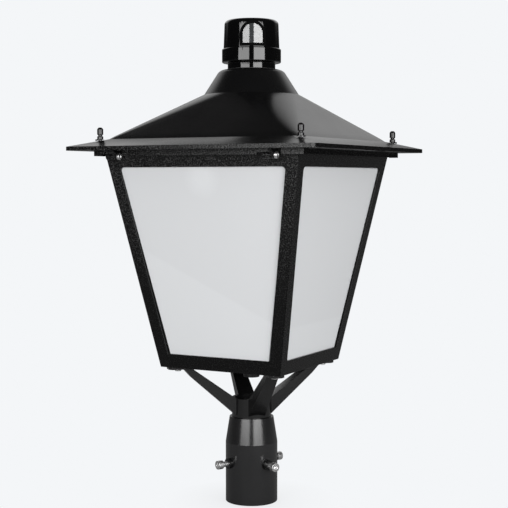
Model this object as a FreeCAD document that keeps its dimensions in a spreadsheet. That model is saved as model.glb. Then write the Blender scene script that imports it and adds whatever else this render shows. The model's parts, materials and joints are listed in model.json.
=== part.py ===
import FreeCAD, Part
import math
import os
import re
import Sketcher
from FreeCAD import Placement, Rotation, Vector

# Post top lantern. Millimetres, +Z up, origin at the mouth of the pole socket,
# front face (the one with the roof hinges) towards -Y.

SIZES = {
    # pole sleeve and its tapered collar
    "sleeveRadius": 37.5,
    "sleeveHeight": 87,
    "socketRadius": 31,
    "socketDepth": 84,
    "collarTopRadius": 31.8,
    "collarHeight": 36.5,
    "cableWayRadius": 22,
    # clamping screws of the sleeve
    "clampLevel": 58.5,
    "clampAngle": -26.6,
    "clampRadius": 4,
    "clampHeadRadius": 6.3,
    "clampHeadHeight": 5.5,
    "clampNutRadius": 7.4,
    "clampNutHeight": 3,
    # hub ring, arms and feet
    "hubRadius": 28.3,
    "hubWall": 4.5,
    "hubHeight": 28,
    "armRootDrop": 24,
    "armRootWidth": 25,
    "armTipInset": 23.4,
    "armKneeSetback": 11,
    "armKneeDepth": 13,
    "armKneeWidth": 18,
    "footInset": 7.1,
    "footThickness": 4,
    "footWidth": 22,
    "footScrewInset": 17.7,
    "footScrewRadius": 2.5,
    "footScrewHeadRadius": 4.5,
    "footScrewHeadHeight": 3,
    "footScrewEnd": 8,
    # tapered body of four side frames
    "bodyBottomLevel": 200.7,
    "bodyTopLevel": 506,
    "bodyBottomHalf": 94.8,
    "bodyTopHalf": 150.2,
    "frameThickness": 10,
    "faceThickness": 6,
    "stileWidth": 19,
    "windowBottomLevel": 220.5,
    "windowTopLevel": 482,
    "windowCorner": 5,
    "seamGap": 0.4,
    "rebateWidth": 5,
    "panelThickness": 3,
    "panelSealThickness": 1,
    "basePlateThickness": 3,
    "braceWidth": 9,
    "braceLift": 16,
    "clipSpacing": 45,
    # cable gland in the base plate
    "glandRadius": 10,
    "glandBore": 7,
    "glandHexagon": 26,
    "glandDrop": 14,
    "glandRise": 12,
    "glandDomeRadius": 12.5,
    "glandDomeDrop": 20,
    "cableRadius": 4.8,
    # roof canopy
    "brimOverhang": 40.8,
    "brimCorner": 12,
    "brimUnderLevel": 504.8,
    "brimEdgeThickness": 5.4,
    "foldInset": 2.5,
    "foldLevel": 521,
    "foldCorner": 9,
    "skirtStandoff": 11,
    "skirtWall": 2,
    "skirtDrop": 7.3,
    "notchWidth": 34,
    "notchLead": 24,
    "canopyTopLevel": 585,
    "canopyWall": 3,
    "ledgeLevel": 514,
    # cap on the canopy
    "capBaseRadius": 68,
    "capTopRadius": 45,
    "capTopLevel": 621,
    "capShoulder": 12,
    "capWall": 3,
    # studs at the brim corners
    "studStandoff": 3.9,
    "studRadius": 2.5,
    "studHeadRadius": 4.2,
    "studHeight": 17.5,
    # hinge and clamp lugs
    "hingeStandoff": 7.5,
    "hingeLevel": 496.7,
    "lugOffset": 119,
    "roofLugThickness": 4.7,
    "frameLugThickness": 13,
    "lugRadius": 5,
    "boltRadius": 3,
    "boltHeadRadius": 4.6,
    "boltHeadHeight": 3.8,
    # gear tray and what it carries
    "trayThickness": 3,
    "boardHalf": 72,
    "boardThickness": 1.6,
    "driverLength": 150,
    "driverWidth": 58,
    "driverHeight": 32,
    "driverSetback": 85,
    "driverEar": 12,
    "surgeLength": 50,
    "surgeWidth": 30,
    "surgeHeight": 26,
    "terminalLength": 50,
    "terminalWidth": 22,
    "terminalHeight": 18,
    "gearSpacing": 20,
    "trayHoleRadius": 9,
    "trayHoleSetback": 60,
    # photocell socket and photocell
    "socketRimRadius": 35.4,
    "receptacleRadius": 33.9,
    "receptacleHeight": 10,
    "flangeRadius": 42,
    "flangeHeight": 19.5,
    "coverRadius": 39.8,
    "coverTopRadius": 38.2,
    "coverTopLevel": 691,
    "coverWall": 2.2,
    "windowAngle": 31,
    "archWidth": 34,
    "archHeight": 34,
    "bladeCircle": 19,
    "bladeThickness": 2,
    "bladeDepth": 5,
    "cellBaseThickness": 4,
    "cellPostHeight": 5.3,
    "cellPostRadius": 4,
    "cellBoardMargin": 6,
    "cellBoardThickness": 1.6,
    "sensorSeatHalf": 9,
    "sensorSeatThickness": 3,
    "sensorSeatHeight": 27.1,
    "sensorRadius": 5,
    "runningGap": 0.3,
    "pinGap": 0.05,
}

# sizes that follow from others, kept in the sheet as formulas
FOLLOWING = {
    "armTipReach": "(bodyBottomHalf - armTipInset) * sqrt(2)",
    "armKneeReach": "armTipReach - armKneeSetback",
    "footReach": "(bodyBottomHalf - footInset) * sqrt(2)",
    "footScrewReach": "(bodyBottomHalf - footScrewInset) * sqrt(2)",
    "foldHalf": "bodyTopHalf - foldInset",
    "skirtHalf": "bodyTopHalf + skirtStandoff",
    "brimHalf": "bodyTopHalf + brimOverhang",
    "studReach": "bodyTopHalf + studStandoff",
    "hingeSetback": "bodyBottomHalf + hingeStandoff + (bodyTopHalf - bodyBottomHalf)"
                    " * (hingeLevel - bodyBottomLevel) / (bodyTopLevel - bodyBottomLevel)",
    "cellBoardRadius": "coverTopRadius - coverWall - cellBoardMargin",
}

TURN = (0, 90, 180, 270)
SIDES = ("front", "right", "back", "left")

doc = FreeCAD.newDocument("PostTopLantern")
sheet = doc.addObject("Spreadsheet::Sheet", "Sizes")
rows = list(SIZES.items()) + [(word, "=" + rule) for word, rule in FOLLOWING.items()]
for row, (word, content) in enumerate(rows, start=1):
    sheet.set("A%d" % row, word)
    sheet.set("B%d" % row, str(content))
    sheet.setAlias("B%d" % row, word)
doc.recompute()


def formula(text):
    """Put the sheet's name before each size that the text names."""
    words = dict(rows)
    return re.sub(r"[A-Za-z]\w*", lambda w: "Sizes." + w.group() if w.group() in words else w.group(), text)


def value(text):
    return float(sheet.evalExpression(formula(text)))


def place(piece, x="0", y="0", z="0", rotation=None):
    """Stand a piece at a point that the sheet drives."""
    piece.Placement = Placement(Vector(value(x), value(y), value(z)), rotation or Rotation())
    for axis, text in (("x", x), ("y", y), ("z", z)):
        if text != "0":
            piece.setExpression("Placement.Base." + axis, formula(text))


def newBody(label):
    body = doc.addObject("PartDesign::Body", label)
    body.Label = label
    body.AllowCompound = True
    return body


def outline(body, plane, corners, lift="0"):
    """Closed outline whose every corner is held by the sheet."""
    sketch = body.newObject("Sketcher::SketchObject", "Outline")
    support = [item for item in body.Origin.OriginFeatures if item.Role == plane + "_Plane"][0]
    sketch.AttachmentSupport = (support, "")
    sketch.MapMode = "FlatFace"
    sketch.AttachmentOffset = Placement(Vector(0, 0, value(lift)), Rotation())
    if lift != "0":
        sketch.setExpression("AttachmentOffset.Base.z", formula(lift))
    points = [Vector(value(x), value(y), 0) for x, y in corners]
    count = len(points)
    for i in range(count):
        sketch.addGeometry(Part.LineSegment(points[i], points[(i + 1) % count]))
    for i in range(count):
        sketch.addConstraint(Sketcher.Constraint("Coincident", i, 2, (i + 1) % count, 1))
    for i, corner in enumerate(corners):
        for kind, axis, text, number in (
            ("DistanceX", -2, corner[0], points[i].x),
            ("DistanceY", -1, corner[1], points[i].y),
        ):
            if text == "0":
                sketch.addConstraint(Sketcher.Constraint("PointOnObject", i, 1, axis))
                continue
            index = sketch.addConstraint(Sketcher.Constraint(kind, -1, 1, i, 1, number))
            sketch.setExpression("Constraints[%d]" % index, formula(text))
    return sketch


def circleSketch(body, plane, x, y, radius, lift="0"):
    sketch = body.newObject("Sketcher::SketchObject", "Circle")
    support = [item for item in body.Origin.OriginFeatures if item.Role == plane + "_Plane"][0]
    sketch.AttachmentSupport = (support, "")
    sketch.MapMode = "FlatFace"
    sketch.AttachmentOffset = Placement(Vector(0, 0, value(lift)), Rotation())
    if lift != "0":
        sketch.setExpression("AttachmentOffset.Base.z", formula(lift))
    middle = Vector(value(x), value(y), 0)
    sketch.addGeometry(Part.Circle(middle, Vector(0, 0, 1), value(radius)))
    index = sketch.addConstraint(Sketcher.Constraint("Radius", 0, value(radius)))
    sketch.setExpression("Constraints[%d]" % index, formula(radius))
    for kind, axis, text, number in (("DistanceX", -2, x, middle.x), ("DistanceY", -1, y, middle.y)):
        if text == "0":
            sketch.addConstraint(Sketcher.Constraint("PointOnObject", 0, 3, axis))
            continue
        index = sketch.addConstraint(Sketcher.Constraint(kind, -1, 1, 0, 3, number))
        sketch.setExpression("Constraints[%d]" % index, formula(text))
    return sketch


def revolve(body, corners, kind="PartDesign::Revolution"):
    sketch = outline(body, "XZ", corners)
    turnedFeature = body.newObject(kind, "Turned")
    turnedFeature.Profile = sketch
    turnedFeature.ReferenceAxis = (sketch, ["V_Axis"])
    turnedFeature.Angle = 360
    return turnedFeature


def turned(label, corners):
    """A round piece from its half section: radius, height."""
    body = newBody(label)
    revolve(body, corners)
    return body


def pad(body, sketch, length, middle=False):
    feature = body.newObject("PartDesign::Pad", "Pad")
    feature.Profile = sketch
    feature.Length = value(length)
    feature.setExpression("Length", formula(length))
    feature.Midplane = middle
    return feature


def cutThrough(body, sketch, backwards=False, bothWays=False):
    """Cut an outline right through, and make sure that it cuts."""
    doc.recompute()
    before = body.Shape.Volume
    feature = body.newObject("PartDesign::Pocket", "Cut")
    feature.Profile = sketch
    feature.Type = "ThroughAll"
    feature.Midplane = bothWays
    feature.Reversed = backwards
    doc.recompute()
    if body.Shape.Volume > before - 0.001:
        raise ValueError(body.Label + ": a cut removed nothing")
    return feature


def loft(body, sections, cut=False):
    feature = body.newObject("PartDesign::SubtractiveLoft" if cut else "PartDesign::AdditiveLoft", "Loft")
    feature.Profile = sections[0]
    feature.Sections = sections[1:]
    feature.Ruled = True
    return feature


def patternRound(body, originals, count=4):
    pattern = body.newObject("PartDesign::PolarPattern", "Round")
    pattern.Originals = originals
    pattern.Axis = ([item for item in body.Origin.OriginFeatures if item.Role == "Z_Axis"][0], [""])
    pattern.Angle = 360
    pattern.Occurrences = count
    body.Tip = pattern
    return pattern


def softenEdges(body, pick, radius, kind="PartDesign::Fillet"):
    """Round or chamfer the edges of the body's last feature that pick accepts."""
    doc.recompute()
    base = body.Tip
    names = ["Edge%d" % (i + 1) for i, edge in enumerate(base.Shape.Edges) if pick(edge)]
    if not names:
        raise ValueError(body.Label + ": no edge to soften")
    feature = body.newObject(kind, "Softened")
    feature.Base = (base, names)
    if kind == "PartDesign::Fillet":
        feature.Radius = value(radius)
        feature.setExpression("Radius", formula(radius))
    else:
        feature.Size = value(radius)
        feature.setExpression("Size", formula(radius))
    return feature


def gathered(label, shapes):
    """Identical small pieces, kept as separate solids of one sub-part."""
    piece = doc.addObject("Part::Feature", label)
    piece.Label = label
    piece.Shape = shapes[0] if len(shapes) == 1 else Part.makeCompound(shapes)
    return piece


def halfAt(level):
    """Half width of the tapered body at a level."""
    return (
        "(bodyBottomHalf + (bodyTopHalf - bodyBottomHalf)"
        " * ((%s) - bodyBottomLevel) / (bodyTopLevel - bodyBottomLevel))" % level
    )


def box(x0, x1, y0, y1, z0, z1):
    return Part.makeBox(x1 - x0, y1 - y0, z1 - z0, Vector(x0, y0, z0))


def hexagon(acrossFlats, height, middle, axis=Vector(0, 0, 1)):
    reach = acrossFlats / math.sqrt(3)
    points = [Vector(reach * math.cos(math.radians(60 * i)), reach * math.sin(math.radians(60 * i)), 0)
              for i in range(6)]
    prism = Part.Face(Part.makePolygon(points + points[:1])).extrude(Vector(0, 0, height))
    prism.Placement = Placement(middle, Rotation(Vector(0, 0, 1), axis))
    return prism


def aroundZ(shape, angles):
    copies = []
    for angle in angles:
        copy = shape.copy()
        copy.rotate(Vector(0, 0, 0), Vector(0, 0, 1), angle)
        copies.append(copy)
    return copies


def roundedSquare(half, corner, level):
    """Square wire with round corners, as eight edges from the middle of the front side."""
    flat = half - corner
    edges = []
    for turn in TURN:
        start = Vector(-flat, -half, level)
        end = Vector(flat, -half, level)
        bend = math.sqrt(0.5) * corner
        middle = Vector(flat + bend, -flat - bend, level)
        last = Vector(half, -flat, level)
        for edge in (Part.LineSegment(start, end).toShape(), Part.Arc(end, middle, last).toShape()):
            edge.rotate(Vector(0, 0, 0), Vector(0, 0, 1), turn)
            edges.append(edge)
    return Part.Wire(edges)


def splitCircle(radius, flatAngle, level):
    """Circle of eight arcs that answer the sides and corners of a rounded square."""
    edges = []
    for turn in TURN:
        for first, last in ((-flatAngle / 2, flatAngle / 2), (flatAngle / 2, 90 - flatAngle / 2)):
            at = [math.radians(turn - 90 + angle) for angle in (first, (first + last) / 2, last)]
            points = [Vector(radius * math.cos(a), radius * math.sin(a), level) for a in at]
            edges.append(Part.Arc(points[0], points[1], points[2]).toShape())
    return Part.Wire(edges)


# ---------------------------------------------------------------- pole sleeve and clamping screws

def poleSleeve():
    """Slip fitter: socket for the pole, stop ledge above it and a tapered collar."""
    collarTop = "sleeveHeight + collarHeight"
    body = turned("pole_sleeve", [
        ("socketRadius", "0"), ("sleeveRadius", "0"), ("sleeveRadius", "sleeveHeight"),
        ("collarTopRadius", collarTop), ("cableWayRadius", collarTop),
        ("cableWayRadius", "socketDepth"), ("socketRadius", "socketDepth"),
    ])
    hole = circleSketch(body, "XZ", "0", "clampLevel", "clampRadius + pinGap")
    cut = cutThrough(body, hole)
    patternRound(body, [cut])
    rim = value("sleeveRadius")
    softenEdges(body, lambda e: e.BoundBox.ZMax < 0.01 and abs(e.BoundBox.XMax - rim) < 0.01, "1")
    place(body, rotation=Rotation(Vector(0, 0, 1), value("clampAngle")))
    return body


CLAMP_OUT = (54, 54.5, 47, 50)
CLAMP_NAMES = ("clamp_screw_front", "clamp_screw_right", "clamp_screw_back", "clamp_screw_left")


def clampScrews():
    """Socket-head screws through the sleeve; the tips stay clear of the socket at rest."""
    pieces = []
    for name, out, turn in zip(CLAMP_NAMES, CLAMP_OUT, TURN):
        body = newBody(name)
        tip = "socketRadius + runningGap"
        under = "%s" % out
        top = "%s + clampHeadHeight" % out
        revolve(body, [
            ("0", tip), ("clampRadius - 1", tip), ("clampRadius", tip + " + 1"), ("clampRadius", under),
            ("clampHeadRadius", under), ("clampHeadRadius", top), ("0", top),
        ])
        softenEdges(body, lambda e: e.BoundBox.ZLength < 0.01 and abs(e.BoundBox.ZMin - value(top)) < 0.01, "0.6")
        key = outline(body, "XY", [
            ("3.4 * cos(%d)" % angle, "3.4 * sin(%d)" % angle) for angle in range(15, 375, 60)
        ], lift=top)
        socket = body.newObject("PartDesign::Pocket", "Key")
        socket.Profile = key
        socket.Length = value("clampHeadHeight - 1.5")
        socket.setExpression("Length", formula("clampHeadHeight - 1.5"))
        outward = Rotation(Vector(0, 0, 1), value("clampAngle") + turn) * Rotation(Vector(1, 0, 0), 90)
        place(body, z="clampLevel", rotation=outward)
        pieces.append(body)
    return pieces


def clampNuts():
    """Lock nuts that saddle the sleeve round each clamping screw."""
    sleeve = value("sleeveRadius")
    nut = Part.makeCylinder(value("clampNutRadius"), value("clampNutHeight") + 3, Vector(0, 3 - sleeve, 0), Vector(0, -1, 0))
    nut = nut.cut(Part.makeCylinder(sleeve + value("pinGap"), 60, Vector(0, 0, -30)))
    nut = nut.cut(Part.makeCylinder(value("clampRadius + pinGap"), sleeve * 2, Vector(0, 0, 0), Vector(0, -1, 0)))
    nut.translate(Vector(0, 0, value("clampLevel")))
    return gathered("clamp_nuts", aroundZ(nut, [value("clampAngle") + turn for turn in TURN]))


# ---------------------------------------------------------------- spider under the body

def armSpider():
    """Casting of the hub ring, four rising arms and their feet."""
    body = newBody("arm_spider")
    floor = "sleeveHeight + collarHeight"
    top = "(sleeveHeight + collarHeight + hubHeight)"
    foot = "(bodyBottomLevel - footThickness)"
    revolve(body, [
        ("hubRadius - hubWall", floor), ("hubRadius", floor),
        ("hubRadius", top), ("hubRadius - hubWall", top),
    ])
    sections = []
    for reach, wide, low, high in (
        ("hubRadius - hubWall / 2", "armRootWidth", top + " - armRootDrop", top),
        ("armKneeReach", "armKneeWidth", foot + " - armKneeDepth", foot + " + 0.5"),
        ("armTipReach", "armKneeWidth", foot + " - 1", foot + " + 0.5"),
    ):
        half = "(%s) / 2" % wide
        sections.append(outline(body, "YZ", [
            ("-" + half, low), (half, low), (half, high), ("-" + half, high),
        ], lift=reach))
    arm = loft(body, sections)
    plate = outline(body, "XY", [
        ("armKneeReach - 4", "-footWidth / 2"), ("footReach - 5", "-footWidth / 2"),
        ("footReach", "-footWidth / 2 + 5"), ("footReach", "footWidth / 2 - 5"),
        ("footReach - 5", "footWidth / 2"), ("armKneeReach - 4", "footWidth / 2"),
    ], lift=foot)
    footPad = pad(body, plate, "footThickness")
    hole = circleSketch(body, "XY", "footScrewReach", "0", "footScrewRadius * 1.1", lift="bodyBottomLevel + 1")
    cut = cutThrough(body, hole)
    patternRound(body, [arm, footPad, cut])
    place(body, rotation=Rotation(Vector(0, 0, 1), -45))
    return body


def footScrews():
    """Button-head screws up through the feet and the base plate."""
    reach = value("footScrewReach")
    under = value("bodyBottomLevel - footThickness")
    top = value("bodyBottomLevel + basePlateThickness + footScrewEnd")
    tall = value("footScrewHeadHeight")
    screw = Part.makeCylinder(value("footScrewRadius"), top - under + 1, Vector(reach, 0, under - 1))
    head = Part.makeCylinder(value("footScrewHeadRadius"), tall, Vector(reach, 0, under - tall))
    head = head.makeFillet(0.4 * tall, [e for e in head.Edges if abs(e.BoundBox.ZMax - under + tall) < 0.01])
    return gathered("foot_screws", aroundZ(screw.fuse(head), [turn - 45 for turn in TURN]))


def footNuts():
    reach = value("footScrewReach")
    level = value("bodyBottomLevel + basePlateThickness")
    radius = value("footScrewRadius")
    nut = hexagon(3.2 * radius, 1.6 * radius, Vector(reach, 0, level))
    nut = nut.cut(Part.makeCylinder(value("footScrewRadius + pinGap"), 4 * radius, Vector(reach, 0, level - radius)))
    return gathered("foot_nuts", aroundZ(nut, [turn - 45 for turn in TURN]))


# ---------------------------------------------------------------- tapered body

def frameSection(body, level, outer, inner, side, lift):
    """Mitred slice of one side frame at a level."""
    edge = halfAt(level)
    return outline(body, "XY", [
        ("-(%s - %s)" % (edge, side[0]), "-(%s - %s)" % (edge, outer)),
        ("%s - %s" % (edge, side[0]), "-(%s - %s)" % (edge, outer)),
        ("%s - %s" % (edge, side[1]), "-(%s - %s)" % (edge, inner)),
        ("-(%s - %s)" % (edge, side[1]), "-(%s - %s)" % (edge, inner)),
    ], lift=lift)


def windowOutline(body):
    """The window's four corners, on the plane through the middle of the lantern."""
    low = "(%s - stileWidth)" % halfAt("windowBottomLevel")
    high = "(%s - stileWidth)" % halfAt("windowTopLevel")
    return outline(body, "XZ", [
        ("-" + low, "windowBottomLevel"), (low, "windowBottomLevel"),
        (high, "windowTopLevel"), ("-" + high, "windowTopLevel"),
    ])


def slab(body, low, high, outer, inner, side, cut=False):
    return loft(body, [frameSection(body, level, outer, inner, side, level) for level in (low, high)], cut)


def windowEdge(edge, level, depthOnly):
    """True for an edge of the window at a level that runs through the frame."""
    bounds = edge.BoundBox
    return abs(bounds.ZMax - level) < 1.5 and bounds.YLength > depthOnly and bounds.XLength < 3


def sideFrame(side, turn):
    """Cast side frame: mitred ends, a window with round upper corners and a rebate behind it."""
    body = newBody(side + "_frame")
    seam = "seamGap / 2"
    slab(body, "bodyBottomLevel", "bodyTopLevel", "0", "frameThickness",
         (seam, "(frameThickness + seamGap / 2)"))
    rebate = "(stileWidth - rebateWidth)"
    slab(body, "windowBottomLevel - rebateWidth", "windowTopLevel + rebateWidth",
         "faceThickness", "(frameThickness + 1)", (rebate, rebate), cut=True)
    cutThrough(body, windowOutline(body), backwards=True)
    level = value("windowTopLevel")
    softenEdges(body, lambda e: windowEdge(e, level, 3), "windowCorner")
    place(body, rotation=Rotation(Vector(0, 0, 1), turn))
    return body


def sidePanel(side, turn):
    """Opal panel that lies in the frame's rebate."""
    body = newBody(side + "_panel")
    edge = "(stileWidth - rebateWidth + 0.4)"
    front = "(faceThickness + panelSealThickness)"
    slab(body, "windowBottomLevel - rebateWidth + 0.4", "windowTopLevel + rebateWidth - 0.4",
         front, "(faceThickness + panelSealThickness + panelThickness)", (edge, edge))
    place(body, rotation=Rotation(Vector(0, 0, 1), turn))
    return body


def panelSeal(side, turn):
    """Flat seal between the frame's face and the panel."""
    body = newBody(side + "_panel_seal")
    edge = "(stileWidth - rebateWidth + 0.4)"
    slab(body, "windowBottomLevel - rebateWidth + 0.4", "windowTopLevel + rebateWidth - 0.4",
         "faceThickness", "(faceThickness + panelSealThickness)", (edge, edge))
    cutThrough(body, windowOutline(body), backwards=True)
    place(body, rotation=Rotation(Vector(0, 0, 1), turn))
    return body


def cornerBraces():
    """Square keys inside the four mitred corners."""
    body = newBody("corner_braces")
    sections = []
    for level in ("(bodyBottomLevel + braceLift)", "(bodyTopLevel - 6)"):
        outer = "(%s - frameThickness - runningGap)" % halfAt(level)
        inner = "(%s - frameThickness - runningGap - braceWidth)" % halfAt(level)
        sections.append(outline(body, "XY", [
            (inner, "-" + outer), (outer, "-" + outer), (outer, "-" + inner), (inner, "-" + inner),
        ], lift=level))
    brace = loft(body, sections)
    patternRound(body, [brace])
    return body


def panelClips():
    """Spring clips on the rails behind each panel, and the screws that hold them."""
    tilt = math.degrees(math.atan(value("(bodyTopHalf - bodyBottomHalf) / (bodyTopLevel - bodyBottomLevel)")))
    clips = []
    screws = []
    for level, toPanel in ((value("windowBottomLevel - rebateWidth - 7"), 1),
                           (value("windowTopLevel + rebateWidth + 7"), -1)):
        for x in (-value("clipSpacing"), value("clipSpacing")):
            clip = box(-8, 8, 0, 1.5, -5, 5).fuse(box(-8, 8, 0, 1.5, 0, 14) if toPanel > 0 else box(-8, 8, 0, 1.5, -14, 0))
            clip = clip.removeSplitter().cut(Part.makeCylinder(2.1, 6, Vector(0, -2, 0), Vector(0, 1, 0)))
            screw = Part.makeCylinder(2, 2.2, Vector(0, 0.05, 0), Vector(0, 1, 0))
            screw = screw.fuse(Part.makeCylinder(3.6, 2, Vector(0, 1.55, 0), Vector(0, 1, 0))).removeSplitter()
            inside = value("%s - frameThickness - 0.2" % halfAt(str(level)))
            seat = Placement(Vector(x, -inside, level), Rotation(Vector(1, 0, 0), tilt))
            for shape, group in ((clip, clips), (screw, screws)):
                shape.Placement = seat
                group.extend(aroundZ(shape, TURN))
    return [gathered("panel_clips", clips), gathered("panel_clip_screws", screws)]


def basePlate():
    """Floor of the lamp chamber, with the gland hole and the feet's screw holes."""
    body = newBody("base_plate")
    half = "(bodyBottomHalf - frameThickness - 0.4)"
    sketch = outline(body, "XY", [("-" + half, "-" + half), (half, "-" + half), (half, half), ("-" + half, half)],
                     lift="bodyBottomLevel")
    pad(body, sketch, "basePlateThickness")
    cutThrough(body, circleSketch(body, "XY", "0", "0", "glandRadius + 0.2", lift="bodyBottomLevel + 5"))
    across = "bodyBottomHalf - footScrewInset"
    hole = circleSketch(body, "XY", across, across, "footScrewRadius * 1.1", lift="bodyBottomLevel + 5")
    cut = cutThrough(body, hole)
    patternRound(body, [cut])
    return body


def cableGland():
    """Gland in the base plate for the supply cable: body, dome nut, lock nut and seal."""
    level = value("bodyBottomLevel")
    plate = value("basePlateThickness")
    radius = value("glandRadius")
    bore = value("glandBore")
    flats = value("glandHexagon")
    low = level - value("glandDrop")
    mouth = level - value("glandDomeDrop")
    gap = value("pinGap")
    body = Part.makeCylinder(radius, level + value("glandRise") - low, Vector(0, 0, low))
    body = body.fuse(hexagon(flats, 0.5 * radius, Vector(0, 0, level - 0.5 * radius)))
    body = body.cut(Part.makeCylinder(bore, 8 * radius, Vector(0, 0, low - radius))).removeSplitter()
    wide = value("glandDomeRadius")
    dome = Part.makeCone(wide - 1, wide, radius, Vector(0, 0, mouth))
    dome = dome.cut(Part.makeCylinder(value("cableRadius") + 0.4, 4 * radius, Vector(0, 0, mouth - radius)))
    dome = dome.cut(Part.makeCylinder(radius + gap, 2 * radius, Vector(0, 0, low - gap)))
    lock = hexagon(flats - 1, 0.5 * radius, Vector(0, 0, level + plate))
    lock = lock.cut(Part.makeCylinder(radius + gap, 4 * radius, Vector(0, 0, level - radius)))
    seal = Part.makeCylinder(bore - 0.1, 0.8 * radius, Vector(0, 0, low + 0.2))
    seal = seal.cut(Part.makeCylinder(value("cableRadius"), 4 * radius, Vector(0, 0, low - radius)))
    return [gathered("gland_body", [body]), gathered("gland_dome_nut", [dome]),
            gathered("gland_lock_nut", [lock]), gathered("gland_seal", [seal])]


def roofSeal():
    """Rubber seal on top of the four frames, under the gear tray."""
    body = newBody("roof_seal")
    top = "(ledgeLevel - trayThickness - runningGap)"
    outer = "(bodyTopHalf - 1)"
    inner = "(bodyTopHalf - 7)"
    pad(body, outline(body, "XY", [("-" + outer, "-" + outer), (outer, "-" + outer), (outer, outer),
                                   ("-" + outer, outer)], lift="bodyTopLevel"), top + " - bodyTopLevel")
    cutThrough(body, outline(body, "XY", [("-" + inner, "-" + inner), (inner, "-" + inner), (inner, inner),
                                          ("-" + inner, inner)], lift="bodyTopLevel + 20"))
    return body


# ---------------------------------------------------------------- hinge and clamp lugs

def bodySlope():
    """Large block whose one face is the front face of the tapered body, for fitting the lugs to it."""
    level = value("hingeLevel")
    rise = value("bodyTopLevel - bodyBottomLevel")
    tilt = math.degrees(math.atan(value("bodyTopHalf - bodyBottomHalf") / rise))
    far = value("brimHalf")
    block = box(-far, far, 0, far, -far, far)
    block.Placement = Placement(Vector(0, -value(halfAt("hingeLevel")), level), Rotation(Vector(1, 0, 0), tilt))
    return block


def boltAxis():
    return Vector(0, -value("hingeSetback"), value("hingeLevel"))


def frameLugs(label, open_):
    """Lugs on a frame's top rail; the open kind lets its bolt lift out."""
    axis = boltAxis()
    radius = value("lugRadius")
    thick = value("frameLugThickness")
    start = value("lugOffset - roofLugThickness - runningGap") - thick
    hole = value("boltRadius + pinGap") if not open_ else value("boltRadius + runningGap")
    shapes = []
    for shift in (0, -2 * value("lugOffset") - value("boltHeadHeight")):
        x = start + shift
        lug = Part.makeCylinder(radius, thick, Vector(x, axis.y, axis.z), Vector(1, 0, 0))
        root = box(x, x + thick, axis.y, axis.y + 2.4 * radius, axis.z - radius, axis.z + 0.72 * radius)
        lug = lug.fuse(root).removeSplitter().cut(bodySlope())
        lug = lug.cut(Part.makeCylinder(hole, thick + 2, Vector(x - 1, axis.y, axis.z), Vector(1, 0, 0)))
        if open_:
            lug = lug.cut(box(x - 1, x + thick + 1, axis.y - hole, axis.y + hole, axis.z, axis.z + 12))
        shapes.append(max(lug.Solids, key=lambda s: s.Volume))
    if open_:
        shapes = [aroundZ(shape, [180])[0] for shape in shapes]
    return gathered(label, shapes)


def roofLugs(label, turn):
    """Lugs that hang from the brim beside the frame's lugs."""
    axis = boltAxis()
    radius = value("lugRadius")
    thick = value("roofLugThickness")
    under = value("brimUnderLevel")
    shapes = []
    for shift in (0, -2 * value("lugOffset") - value("boltHeadHeight")):
        x = value("lugOffset") - thick + shift
        lug = Part.makeCylinder(radius, thick, Vector(x, axis.y, axis.z), Vector(1, 0, 0))
        foot = -value("skirtHalf") - 8
        points = [Vector(x, axis.y + radius, axis.z), Vector(x, axis.y - radius, axis.z),
                  Vector(x, foot, under), Vector(x, axis.y + radius, under)]
        web = Part.Face(Part.makePolygon(points + points[:1])).extrude(Vector(thick, 0, 0))
        lug = lug.fuse(web).removeSplitter()
        lug = lug.cut(Part.makeCylinder(value("boltRadius + pinGap"), thick + 2,
                                        Vector(x - 1, axis.y, axis.z), Vector(1, 0, 0)))
        shapes.append(aroundZ(lug, [turn])[0])
    return gathered(label, shapes)


def lugBolt(x):
    """One bolt along X, its head on the +X side of the roof lug."""
    axis = boltAxis()
    thick = value("roofLugThickness + frameLugThickness + runningGap")
    bolt = Part.makeCylinder(value("boltRadius"), thick, Vector(x - thick, axis.y, axis.z), Vector(1, 0, 0))
    head = Part.makeCylinder(value("boltHeadRadius"), value("boltHeadHeight") - 0.1,
                             Vector(x + 0.1, axis.y, axis.z), Vector(1, 0, 0))
    head = head.makeFillet(0.9, [e for e in head.Edges if e.BoundBox.XMin > x + 3])
    neck = Part.makeCylinder(value("boltRadius"), 0.4, Vector(x - 0.1, axis.y, axis.z), Vector(1, 0, 0))
    key = hexagon(4, 3, Vector(x + value("boltHeadHeight") - 2, axis.y, axis.z), Vector(1, 0, 0))
    return bolt.fuse([head, neck]).removeSplitter().cut(key)


def lugBolts():
    low = -value("lugOffset") - value("boltHeadHeight")
    high = value("lugOffset")
    pieces = [gathered("hinge_bolts", [lugBolt(low), lugBolt(high)])]
    for name, x in (("clamp_bolt_left", high), ("clamp_bolt_right", low)):
        pieces.append(gathered(name, aroundZ(lugBolt(x), [180])))
    return pieces


# ---------------------------------------------------------------- roof

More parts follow.
